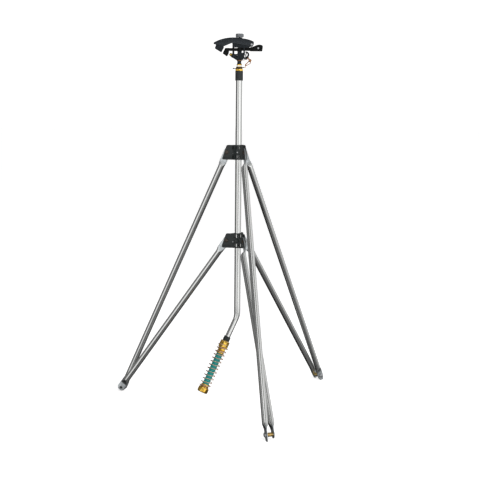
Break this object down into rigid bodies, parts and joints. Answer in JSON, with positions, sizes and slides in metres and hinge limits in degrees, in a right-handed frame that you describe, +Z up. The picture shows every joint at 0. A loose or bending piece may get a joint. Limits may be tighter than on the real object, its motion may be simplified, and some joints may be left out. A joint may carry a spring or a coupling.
{
  "type": "tripod impact sprinkler",
  "caption": "Impact sprinkler head on a folding tripod of round tubes, with a bent riser pipe, a hinged deflector hood and a short spring-guarded leader hose.",
  "frame": {"origin": "on the ground, in the middle of the box round the three feet", "axes": "+Z up along the riser, the head's jet points to -X, the front leg towards -Y"},
  "size_m": [0.6575, 0.653, 1.1018],
  "materials": {
    "galvanised": "satin zinc-coated",
    "black_enamel": "satin black",
    "head_black": "satin black cast zinc",
    "brass": "polished",
    "copper_wire": "copper-coloured drawn wire",
    "steel": "bright zinc-plated",
    "nylon": "matte",
    "teal_hose": "smooth",
    "rubber": "matte"
  },
  "bodies": {
    "stand": {"riser_tube": "galvanised", "upper_hub": "black_enamel", "hub_pin": "steel", "upper_rivet_left": "steel", "upper_rivet_front": "steel", "upper_rivet_right": "steel", "pipe_collar": "black_enamel", "bearing_nut": "brass", "inlet_ring": "black_enamel", "inlet_thread": "brass", "hose_washer": "rubber", "hose_stem": "brass", "leader_hose": "teal_hose", "guard_spring": "copper_wire", "end_fitting": "brass"},
    "long_leg_left": {"long_leg_left": "galvanised", "foot_bolt_left": "steel", "foot_spacer_left": "brass"},
    "long_leg_front": {"long_leg_front": "galvanised", "foot_bolt_front": "steel", "foot_spacer_front": "brass"},
    "long_leg_right": {"long_leg_right": "galvanised", "foot_bolt_right": "steel", "foot_spacer_right": "brass"},
    "lower_hub": {"lower_hub": "black_enamel", "lower_rivet_left": "steel", "lower_rivet_front": "steel", "lower_rivet_right": "steel"},
    "clamp_screw": {"clamp_screw": "black_enamel"},
    "brace_left": {"brace_left": "galvanised", "foot_cap_left": "black_enamel"},
    "brace_front": {"brace_front": "galvanised", "foot_cap_front": "black_enamel"},
    "brace_right": {"brace_right": "galvanised", "foot_cap_right": "black_enamel"},
    "trip_ring_lower": {"trip_ring_lower": "steel"},
    "trip_ring_upper": {"trip_ring_upper": "steel"},
    "head": {"sprinkler_body": "head_black", "nozzle": "brass", "bearing_stem": "brass", "seal_washer": "rubber", "thrust_washer": "nylon", "brass_washer": "brass", "bearing_spring": "steel", "fulcrum_pin": "steel", "arm_spring": "copper_wire", "deflector_pin": "steel", "trip_axle": "steel", "trip_spring": "copper_wire"},
    "impact_arm": {"impact_arm": "head_black"},
    "deflector_hood": {"deflector_hood": "head_black"},
    "lift_knob": {"lift_knob": "steel"},
    "trip_wire": {"trip_wire": "copper_wire"},
    "trip_lever": {"trip_lever": "head_black"},
    "swivel_nut": {"swivel_nut": "brass"}
  },
  "joints": [
    {"name": "leg_fold_left", "type": "hinge", "parent": "stand", "child": "long_leg_left", "pos_m": [0.01646, 0.04725, 0.7575], "axis": [-0.2504, -0.9681, 0], "range_deg": [0, 14.68]},
    {"name": "leg_fold_front", "type": "hinge", "parent": "stand", "child": "long_leg_front", "pos_m": [0.0662, 0.01755, 0.7575], "axis": [0.9636, 0.2672, 0], "range_deg": [0, 14.68]},
    {"name": "leg_fold_right", "type": "hinge", "parent": "stand", "child": "long_leg_right", "pos_m": [0.06705, 0.07548, 0.7575], "axis": [-0.7133, 0.7009, 0], "range_deg": [0, 14.68]},
    {"name": "hub_slide", "type": "slide", "parent": "stand", "child": "lower_hub", "axis": [0, 0, 1], "range_m": [0, 0.0296]},
    {"name": "clamp_turn", "type": "hinge", "parent": "lower_hub", "child": "clamp_screw", "pos_m": [0.04991, 0.04676, 0.495], "axis": [-0.2504, -0.9681, 0], "range_deg": [0, 720]},
    {"name": "brace_fold_left", "type": "hinge", "parent": "lower_hub", "child": "brace_left", "pos_m": [0.01646, 0.04725, 0.495], "axis": [-0.2504, -0.9681, 0], "range_deg": [0, 21.57]},
    {"name": "brace_fold_front", "type": "hinge", "parent": "lower_hub", "child": "brace_front", "pos_m": [0.0662, 0.01755, 0.495], "axis": [0.9636, 0.2672, 0], "range_deg": [0, 21.57]},
    {"name": "brace_fold_right", "type": "hinge", "parent": "lower_hub", "child": "brace_right", "pos_m": [0.06705, 0.07548, 0.495], "axis": [-0.7133, 0.7009, 0], "range_deg": [0, 21.57]},
    {"name": "trip_ring_lower_turn", "type": "hinge", "parent": "stand", "child": "trip_ring_lower", "pos_m": [0.04991, 0.04676, 1.0005], "axis": [0, 0, 1], "continuous": true},
    {"name": "trip_ring_upper_turn", "type": "hinge", "parent": "stand", "child": "trip_ring_upper", "pos_m": [0.04991, 0.04676, 1.0005], "axis": [0, 0, 1], "continuous": true},
    {"name": "head_turn", "type": "hinge", "parent": "stand", "child": "head", "pos_m": [0.04991, 0.04676, 1.0005], "axis": [0, 0, 1], "continuous": true},
    {"name": "arm_swing", "type": "hinge", "parent": "head", "child": "impact_arm", "pos_m": [0.05051, 0.04676, 1.053], "axis": [0, 0, 1], "range_deg": [0, 80], "stiffness_Nm_per_rad": 0.02, "springref_deg": -34.38},
    {"name": "hood_lift", "type": "hinge", "parent": "head", "child": "deflector_hood", "pos_m": [0.08541, 0.04676, 1.0705], "axis": [0, 1, 0], "range_deg": [0, 7]},
    {"name": "knob_turn", "type": "hinge", "parent": "deflector_hood", "child": "lift_knob", "pos_m": [0.05051, 0.04676, 1.0913], "axis": [0, 0, 1], "continuous": true},
    {"name": "wire_swing", "type": "hinge", "parent": "head", "child": "trip_wire", "pos_m": [0.07851, 0.04676, 1.031], "axis": [1, 0, 0], "range_deg": [-18, 18]},
    {"name": "lever_swing", "type": "hinge", "parent": "head", "child": "trip_lever", "pos_m": [0.07021, 0.04676, 1.031], "axis": [1, 0, 0], "range_deg": [-12.1, 12.1]},
    {"name": "nut_turn", "type": "hinge", "parent": "stand", "child": "swivel_nut", "pos_m": [0.01693, 0.03067, 0.19391], "axis": [-0.4122, -0.2011, -0.8886], "continuous": true}
  ],
  "couplings": [
    {"joint": "leg_fold_front", "follows": "leg_fold_left", "ratio": 1},
    {"joint": "leg_fold_right", "follows": "leg_fold_left", "ratio": 1},
    {"joint": "hub_slide", "follows": "leg_fold_left", "m_per_rad": 0.11452},
    {"joint": "brace_fold_left", "follows": "leg_fold_left", "ratio": 1.4626},
    {"joint": "brace_fold_front", "follows": "leg_fold_left", "ratio": 1.4626},
    {"joint": "brace_fold_right", "follows": "leg_fold_left", "ratio": 1.4626},
    {"joint": "lever_swing", "follows": "wire_swing", "ratio": -0.6667}
  ]
}
